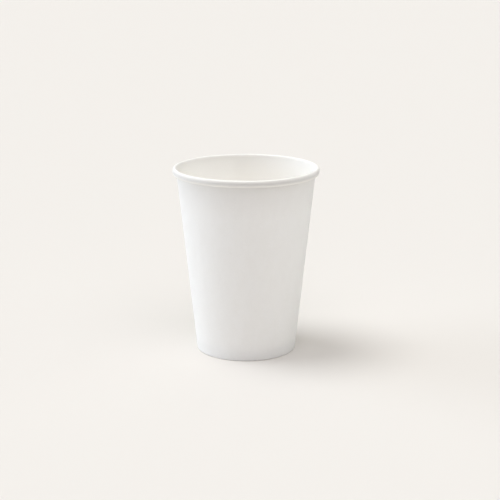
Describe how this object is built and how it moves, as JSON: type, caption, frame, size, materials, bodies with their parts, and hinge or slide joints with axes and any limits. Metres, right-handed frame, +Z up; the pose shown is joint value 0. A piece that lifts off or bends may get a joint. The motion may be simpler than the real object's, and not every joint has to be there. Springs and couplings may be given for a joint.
{
  "type": "paper cup",
  "caption": "Tapered plain white paperboard cup for cold drinks, with a rolled rim, a lapped side seam and a recessed base disc held in a folded-in foot.",
  "frame": {"origin": "centre of the foot, on the surface that the cup stands on", "axes": "+Z up the cup's axis towards the mouth, +Y towards the side seam at the back, +X to the right seen from the front"},
  "size_m": [0.09, 0.0903, 0.115],
  "materials": {
    "sidewall_board": "matte",
    "base_board": "matte"
  },
  "bodies": {
    "root": {"sidewall": "sidewall_board", "base_disc": "base_board"}
  },
  "joints": []
}
